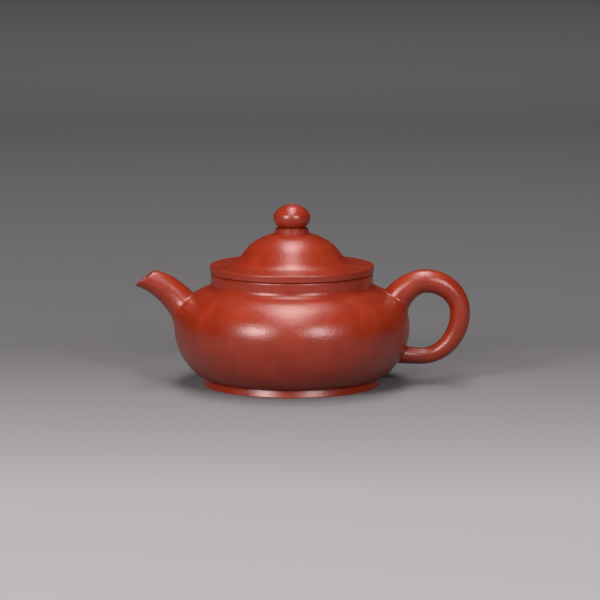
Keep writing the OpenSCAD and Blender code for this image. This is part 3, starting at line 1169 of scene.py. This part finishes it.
@dataclass
class Handle:
    """The ear-shaped handle, thickest at its upper root, with both roots smoothed."""

    curve: BodyCurve
    finishes: Finishes
    sink: float = 3.0
    reach: float = 26.2
    rise: float = 24.7
    drop: float = 16.7
    crest_x: float = 7.0
    low_x: float = 5.0
    far_h: float = 5.8
    thickness: tuple[float, ...] = (12.4, 10.2, 8.8, 7.0, 8.0)
    width_ratio: float = 1.06
    top_angle: float = 50.0
    low_angle: float = 32.0
    quarter: float = 0.55
    # Arms of the middle line's curves at the upper root, the crest and the lower root
    root_arm: tuple[float, float] = (4.6, 5.4)
    crest_arm: float = 5.6
    tail_arm: float = 3.4
    tail_dip: float = 0.4
    # Hollows at both roots: see Root
    upper_heights: tuple[float, float, float] = (0.8, 1.5, 5.2)
    upper_widths: tuple[float, float, float] = (0.9, 1.6, 3.6)
    lower_heights: tuple[float, float, float] = (1.0, 1.0, 1.2)
    lower_widths: tuple[float, float, float] = (1.0, 1.1, 1.4)
    # How deep each end's middle lies in the body
    end_sunk: float = 0.4
    # Part of the run, from each end, in which the root is looked for, and how finely
    search_run: float = 1.2
    search_steps: int = 600
    sides: int = 64
    rings: int = 200

    def middle(self) -> np.ndarray:
        """Draws the handle's middle line as four cubic curves.

        Returns:
            The curves, each as four points of the plane through spout and handle.
        """
        curve, thick = self.curve, self.thickness
        root = curve.upper_c + (curve.upper_r - self.sink) * heading(self.top_angle)
        crest = np.array([curve.belly_r + self.crest_x, curve.belly_z + self.rise - thick[1] / 2])
        far = np.array([curve.belly_r + self.reach - thick[2] / 2, curve.belly_z + self.far_h])
        low = np.array([curve.belly_r + self.low_x, curve.belly_z - self.drop + thick[3] / 2])
        end = curve.lower_c + (curve.lower_r - self.sink) * heading(-self.low_angle)
        over, under = far - crest, far - low
        level, upright = np.array([self.quarter, 0]), np.array([0, self.quarter])
        return np.array(
            [
                [root, root + self.root_arm, crest - [self.crest_arm, 0], crest],
                [crest, crest + level * over[0], far - upright * over[1], far],
                [far, far - upright * under[1], low + level * under[0], low],
                [low, low - [self.tail_arm, 0], end + [self.tail_arm, -self.tail_dip], end],
            ]
        )

    def skin_at(self) -> Surface:
        """Returns the handle's skin as a function of run, from 0 to 4, and angle."""
        curves = self.middle()
        thickness = np.array(self.thickness)

        def surface(run: np.ndarray, angle: np.ndarray) -> np.ndarray:
            """Returns points of the skin at runs along the handle and angles from its outer side."""
            part = np.clip(run.astype(int), 0, len(curves) - 1)
            share = run - part
            edge = np.moveaxis(curves[part], 1, 0)
            flat, along = cubic(edge, share), cubic_run(edge, share)
            across = np.column_stack([-along[:, 1], along[:, 0]])
            across /= np.linalg.norm(along, axis=1)[:, None]
            mix = ease(share)
            half = (thickness[part] * (1 - mix) + thickness[part + 1] * mix) / 2
            flat = flat + across * (half * np.cos(angle))[:, None]
            return np.column_stack([flat[:, 0], half * self.width_ratio * np.sin(angle), flat[:, 1]])

        return surface

    def build(self) -> None:
        """Builds and dresses the handle."""
        angles = 2 * math.pi * np.arange(self.sides) / self.sides
        skin_run = self.skin_at()
        full = float(len(self.thickness) - 1)
        upper = Root(self.curve, self.upper_heights, self.upper_widths)
        lower = Root(self.curve, self.lower_heights, self.lower_widths)
        ahead = np.linspace(0, self.search_run, self.search_steps)
        back = np.linspace(full, full - self.search_run, self.search_steps)
        first, start = upper.rows(skin_run, angles, ahead)
        last, stop = lower.rows(skin_run, angles, back)
        between = [
            skin_run(start + share * (stop - start), angles)
            for share in np.linspace(0, 1, self.rings)
        ]
        points = np.array([*first, *between, *last[::-1]])
        count = points.shape[0]
        caps = [
            self.curve.pressed(points[row].mean(axis=0)[None], np.array([-self.end_sunk]))
            for row in (0, -1)
        ]
        numbers = np.arange(count * self.sides).reshape(count, self.sides)
        poles = [np.full((1, self.sides), count * self.sides + pole) for pole in range(2)]
        piece = solid(
            "handle_loop",
            np.vstack([points.reshape(-1, 3), *caps]),
            skin(np.vstack([poles[0], numbers, poles[1]])),
        )
        self.finishes.lay(piece, Slot.OUTSIDE)
        settle(piece, Body.POT, ("handle",))


@dataclass
class Strainer:
    """The perforated ball over the spout's outlet, which keeps its construction mesh."""

    finishes: Finishes
    node: str = "ball_strainer"

    def build(self, frame: dict) -> None:
        """Dresses the strainer's node.

        Args:
            frame: What loading the model gave.
        """
        piece = frame["nodes"][self.node]
        self.finishes.lay(piece, Slot.INSIDE)
        LOG.info("%s keeps its own mesh", piece.name)


# ---------------------------------------------------------------- the lid


@dataclass
class Lid:
    """The loose lid: rim, dome and locating flange in one piece, and the knob on its collar."""

    finishes: Finishes
    seat: float
    radius: float = 35.5
    rim_t: float = 3.0
    rim_w: float = 5.1
    # Roundings, from the rim round to the vent's lower end
    rim_edge: float = 0.7
    rim_low_edge: float = 0.25
    flange_root_edge: float = 0.3
    flange_edge: float = 0.5
    inner_edge: float = 0.6
    vent_edge: float = 0.2
    # Width of the rim's underside, from its edge in, that has the outer finish
    bare_w: float = 1.5
    # Downward slant from which a face counts as the underside of the dome
    underside: float = 0.1
    dome_edge: float = 1.0
    dome_h: float = 14.7
    crown_slope: float = 34.0
    turn_r: float = 13.0
    side_slope: float = 52.0
    flare_r: float = 9.0
    dome_t: float = 2.6
    flange_r: float = 30.15
    flange_h: float = 6.0
    flange_t: float = 2.5
    knob_r: float = 8.0
    knob_h: float = 10.5
    knob_mid: float = 4.55
    knob_side_r: float = 4.2
    knob_under_r: float = 4.65
    waist_r: float = 5.4
    collar_r: float = 7.5
    collar_h: float = 1.15
    tier_h: float = 0.6
    tier_step: float = 0.2
    tiers: int = 3
    vent_r: float = 1.0
    # Roundings of the knob: above and below its waist, each tier, and the vent's mouth
    waist_edge: float = 0.15
    knob_foot_edge: float = 0.12
    tier_edge: float = 0.14
    tier_root_edge: float = 0.08
    mouth_edge: float = 0.35
    # How far the collar reaches down into the dome, and how its buried edges are rounded
    collar_bury: float = 0.3
    buried_edge: float = 0.02

    @property
    def rim_top(self) -> float:
        """Returns the height of the rim's upper side."""
        return self.seat + self.rim_t

    @property
    def dome_top(self) -> float:
        """Returns the height of the dome's crown."""
        return self.rim_top + self.dome_h

    @property
    def crown_r(self) -> float:
        """Returns the crown's radius, at which the flare ends on the dome's flat edge."""
        crown, side = math.radians(self.crown_slope), math.radians(self.side_slope)
        drop = self.flare_r - self.dome_h + self.turn_r * (math.cos(crown) - math.cos(side))
        run = self.turn_r * (math.sin(side) - math.sin(crown)) + (
            self.flare_r - math.cos(side) * drop
        ) / math.sin(side)
        foot = self.radius - self.rim_w - self.dome_edge
        return (foot - run) / (math.sin(crown) - (1 - math.cos(crown)) / math.tan(side))

    def outline(self) -> np.ndarray:
        """Draws the section of rim, dome and flange, from the vent out and back inside.

        Returns:
            The closed outline as radius and height.
        """
        crown_a, side_a = 90 - self.crown_slope, 90 - self.side_slope
        crown_c = np.array([0, self.dome_top - self.crown_r])
        turn_c = crown_c + (self.crown_r - self.turn_r) * heading(crown_a)
        side_top = turn_c + self.turn_r * heading(side_a)
        flare_z = self.rim_top + self.flare_r
        slope = math.radians(self.side_slope)
        flare_x = side_top[0] + (
            self.flare_r - math.cos(slope) * (flare_z - side_top[1])
        ) / math.sin(slope)
        flare_c = np.array([flare_x, flare_z])
        side_low = flare_c - self.flare_r * heading(side_a)
        inner_crown, inner_turn = self.crown_r - self.dome_t, self.turn_r - self.dome_t
        inner_top = turn_c + inner_turn * heading(side_a)
        inner_foot = inner_top[0] + (inner_top[1] - self.seat) / math.tan(slope)
        vent_out = math.degrees(math.acos(self.vent_r / self.crown_r))
        vent_in = math.degrees(math.acos(self.vent_r / inner_crown))
        crown_z = (crown_c + self.crown_r * heading(vent_out))[1]
        under_z = (crown_c + inner_crown * heading(vent_in))[1]
        low = self.seat - self.flange_h
        flange_in = self.flange_r - self.flange_t
        runs = [
            (arc(crown_c, self.crown_r, vent_out, crown_a), SMOOTH),
            (arc(turn_c, self.turn_r, crown_a, side_a), SMOOTH),
            (line(side_top, side_low), SMOOTH),
            (arc(flare_c, self.flare_r, 180 + side_a, 270), SMOOTH),
            (line((flare_x, self.rim_top), (self.radius, self.rim_top)), self.rim_edge),
            (line((self.radius, self.rim_top), (self.radius, self.seat)), self.rim_low_edge),
            (line((self.radius, self.seat), (self.flange_r, self.seat)), self.flange_root_edge),
            (line((self.flange_r, self.seat), (self.flange_r, low)), self.flange_edge),
            (line((self.flange_r, low), (flange_in, low)), self.flange_edge),
            (line((flange_in, low), (flange_in, self.seat)), self.inner_edge),
            (line((flange_in, self.seat), (inner_foot, self.seat)), self.inner_edge),
            (line((inner_foot, self.seat), inner_top), SMOOTH),
            (arc(turn_c, inner_turn, side_a, crown_a), SMOOTH),
            (arc(crown_c, inner_crown, crown_a, vent_in), self.vent_edge),
            (line((self.vent_r, under_z), (self.vent_r, crown_z)), SMOOTH),
        ]
        return joined(runs, closed=True)

    def knob_outline(self) -> np.ndarray:
        """Draws the section of knob and collar, from the vent's mouth down to the dome.

        Returns:
            The closed outline as radius and height.
        """
        seat = self.dome_top + self.collar_h
        mid_z = seat + self.knob_mid
        side_c = np.array([self.knob_r - self.knob_side_r, mid_z])
        under_c = np.array([self.knob_r - self.knob_under_r, mid_z])
        rise = self.knob_h - self.knob_mid
        top_r = (rise**2 + side_c[0] ** 2 - self.knob_side_r**2) / (2 * (rise - self.knob_side_r))
        top_c = np.array([0, seat + self.knob_h - top_r])
        join = math.degrees(math.atan2(side_c[1] - top_c[1], side_c[0] - top_c[0]))
        vent = math.degrees(math.acos(self.vent_r / top_r))
        waist = -math.degrees(math.acos((self.waist_r - under_c[0]) / self.knob_under_r))
        waist_z = (under_c + self.knob_under_r * heading(waist))[1]
        runs = [
            (arc(top_c, top_r, vent, join), SMOOTH),
            (arc(side_c, self.knob_side_r, join, 0), SMOOTH),
            (arc(under_c, self.knob_under_r, 0, waist), self.waist_edge),
            (line((self.waist_r, waist_z), (self.waist_r, seat)), self.knob_foot_edge),
        ]
        radius, height = self.waist_r, seat
        for tier in reversed(range(self.tiers)):
            outer = self.collar_r - tier * self.tier_step
            drop, root_edge = height - self.tier_h, self.tier_root_edge
            if tier == 0:
                dome_z = self.dome_top - self.crown_r + math.sqrt(self.crown_r**2 - outer**2)
                drop, root_edge = dome_z - self.collar_bury, self.buried_edge
            runs += [
                (line((radius, height), (outer, height)), self.tier_edge),
                (line((outer, height), (outer, drop)), root_edge),
            ]
            radius, height = outer, drop
        crown_in = self.dome_top - self.collar_bury
        top_z = (top_c + top_r * heading(vent))[1]
        runs += [
            (line((radius, height), (self.vent_r, crown_in)), self.buried_edge),
            (line((self.vent_r, crown_in), (self.vent_r, top_z)), self.mouth_edge),
        ]
        return joined(runs, closed=True)

    def is_inside(self, middle: Vector, facing: Vector) -> bool:
        """Says whether a face of the lid lies inside the pot.

        Args:
            middle: The face's middle.
            facing: The face's outward direction.

        Returns:
            True for the flange, the rim's underside and the inside of the dome.
        """
        radius = math.hypot(middle.x, middle.y) / MM
        below = middle.z < (self.seat + TINY) * MM and radius < self.radius - self.bare_w
        return below or (facing.z < -self.underside and radius < self.flange_r)

    def build(self) -> None:
        """Builds and dresses the lid and its knob."""
        shell = lathe("lid_shell", self.outline(), closed=True)
        self.finishes.lay(shell, Slot.OUTSIDE)
        self.finishes.line_inside(shell, self.is_inside)
        settle(shell, Body.LID, ("lid_rim", "lid_dome", "lid_flange"))
        knob = lathe("knob_turned", self.knob_outline(), closed=True)
        self.finishes.lay(knob, Slot.OUTSIDE)
        settle(knob, Body.LID, ("knob_collar", "knob"))


# ---------------------------------------------------------------- studio


@dataclass(frozen=True)
class Lamp:
    """A soft lamp that stands at a distance from the pot and faces it."""

    name: str
    # Degrees round from the viewer's side towards the handle, and degrees above the table
    azimuth: float
    elevation: float
    distance: float
    width: float
    height: float
    power: float

    def hang(self, target: Vector) -> None:
        """Hangs the lamp.

        Args:
            target: The point that it faces.
        """
        light = bpy.data.lights.new(self.name, "AREA")
        light.shape, light.size, light.size_y = "RECTANGLE", self.width, self.height
        light.energy = self.power
        lamp = bpy.data.objects.new(self.name, light)
        round_a, up_a = math.radians(self.azimuth), math.radians(self.elevation)
        out = Vector(
            (
                math.sin(round_a) * math.cos(up_a),
                -math.cos(round_a) * math.cos(up_a),
                math.sin(up_a),
            )
        )
        lamp.location = target + out * self.distance
        lamp.rotation_euler = (-out).to_track_quat("-Z", "Y").to_euler()
        bpy.context.scene.collection.objects.link(lamp)


@dataclass
class Studio:
    """Floor, lamps, soft surrounding light and camera."""

    lamps: tuple[Lamp, ...] = (
        Lamp("overhead_lamp", 180.0, 86.0, 2.0, 0.62, 1.65, 25.0),
        Lamp("high_front_lamp", 0.0, 60.0, 2.0, 0.70, 0.75, 7.0),
        Lamp("right_front_lamp", 28.0, 26.0, 2.0, 0.48, 0.72, 16.0),
        Lamp("left_front_lamp", -37.0, 26.0, 2.0, 0.62, 0.82, 26.0),
    )
    target: Vector = field(default_factory=lambda: Vector((0, 0, 0.035)))
    surround: tuple[float, float, float] = (0.014, 0.014, 0.015)
    # The three greys are painted light and shade along the floor: the middle grey is painted shade
    # where the light falls off behind the pot, and the far grey is painted lighter to make up for
    # the lamps' falloff further back.
    near_grey: tuple[float, float, float] = (0.38, 0.355, 0.373)
    middle_grey: tuple[float, float, float] = (0.165, 0.155, 0.158)
    far_grey: tuple[float, float, float] = (0.52, 0.50, 0.505)
    # Where the floor's grey fades from near to middle and from middle to far, in metres
    front_fade: tuple[float, float] = (-0.2, 0.12)
    back_fade: tuple[float, float] = (1.2, 2.75)
    # Half the floor's width and how far its fades waver, in metres
    floor_half: float = 5.0
    waver: float = 0.05
    # What the floor throws back on to the pot
    bounce_grey: tuple[float, float, float] = (0.04, 0.038, 0.04)
    camera_at: tuple[float, float, float] = (0.0035, -1.3843, 0.2457)
    aim_at: tuple[float, float, float] = (0.0035, 0.0, 0.0363)
    lens: float = 193.98
    sensor: float = 36.0

    def floor(self) -> None:
        """Lays a plain floor whose grey fades towards the back, painted darker behind the pot and
        lighter again far back to stand in for how the lamps' light falls off along it.
        """
        steps = 20
        work = bmesh.new()
        bmesh.ops.create_grid(work, x_segments=steps, y_segments=steps, size=self.floor_half)
        mesh = bpy.data.meshes.new("studio_floor")
        work.to_mesh(mesh)
        work.free()
        floor = bpy.data.objects.new("studio_floor", mesh)
        bpy.context.scene.collection.objects.link(floor)
        material = bpy.data.materials.new("matt_grey_floor")
        material.use_nodes = True
        tree = material.node_tree
        shader = tree.nodes["Principled BSDF"]
        shader.inputs["Roughness"].default_value = 0.9
        shader.inputs["Specular IOR Level"].default_value = 0.2
        where = Effects.place(tree, "ShaderNodeTexCoord").outputs["Object"]
        split = Effects.place(tree, "ShaderNodeSeparateXYZ")
        tree.links.new(where, split.inputs[0])
        cloud = Effects.noise(tree, where, 3.0, 2.0)
        shift = Effects.reckon(tree, "MULTIPLY", cloud, self.waver)
        depth = Effects.reckon(tree, "ADD", split.outputs[1], shift)
        # Painted shade and light: the grey darkens behind the pot and lightens again far back,
        # standing in for how the light falls along the floor.
        front = Effects.spread(tree, depth, self.front_fade, (0.0, 1.0))
        back = Effects.spread(tree, depth, self.back_fade, (0.0, 1.0))
        grey = Effects.blend(tree, front, self.near_grey, self.middle_grey)
        grey = Effects.blend(tree, back, grey, self.far_grey)
        path = Effects.place(tree, "ShaderNodeLightPath").outputs
        seen = Effects.reckon(tree, "MAXIMUM", path["Is Camera Ray"], path["Is Glossy Ray"])
        seen = Effects.reckon(tree, "MAXIMUM", seen, path["Is Transmission Ray"])
        tree.links.new(
            Effects.blend(tree, seen, self.bounce_grey, grey), shader.inputs["Base Color"]
        )
        mesh.materials.append(material)

    def air(self) -> None:
        """Fills the room with a plain soft light."""
        world = bpy.data.worlds.new("studio_air")
        world.use_nodes = True
        back = world.node_tree.nodes["Background"]
        back.inputs["Color"].default_value = (*self.surround, 1.0)
        back.inputs["Strength"].default_value = 1.0
        bpy.context.scene.world = world

    def camera(self) -> None:
        """Sets up the camera."""
        data = bpy.data.cameras.new("studio_camera")
        data.lens, data.sensor_width, data.sensor_fit = self.lens, self.sensor, "HORIZONTAL"
        data.clip_end = 50.0
        camera = bpy.data.objects.new("studio_camera", data)
        camera.location = self.camera_at
        sight = Vector(self.aim_at) - Vector(self.camera_at)
        camera.rotation_euler = sight.to_track_quat("-Z", "Y").to_euler()
        bpy.context.scene.collection.objects.link(camera)
        bpy.context.scene.camera = camera

    def build(self) -> None:
        """Sets up the whole studio."""
        self.camera()
        self.floor()
        self.air()
        for lamp in self.lamps:
            lamp.hang(self.target)
        bpy.context.scene.view_settings.view_transform = "Standard"
        LOG.info("studio is set up with %d lamps", len(self.lamps))


def main() -> None:
    """Builds the studio and the teapot, piece by piece."""
    logging.basicConfig(level=logging.INFO)
    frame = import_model()
    Studio().build()
    finishes = Finishes()
    finishes.mix()
    curve = BodyCurve()
    vessel = Vessel(curve, finishes)
    vessel.build()
    Spout(curve, finishes).build()
    Handle(curve, finishes).build()
    Strainer(finishes).build(frame)
    Lid(finishes, seat=vessel.neck_top + LID_GAP).build()


if __name__ == "__main__":
    main()
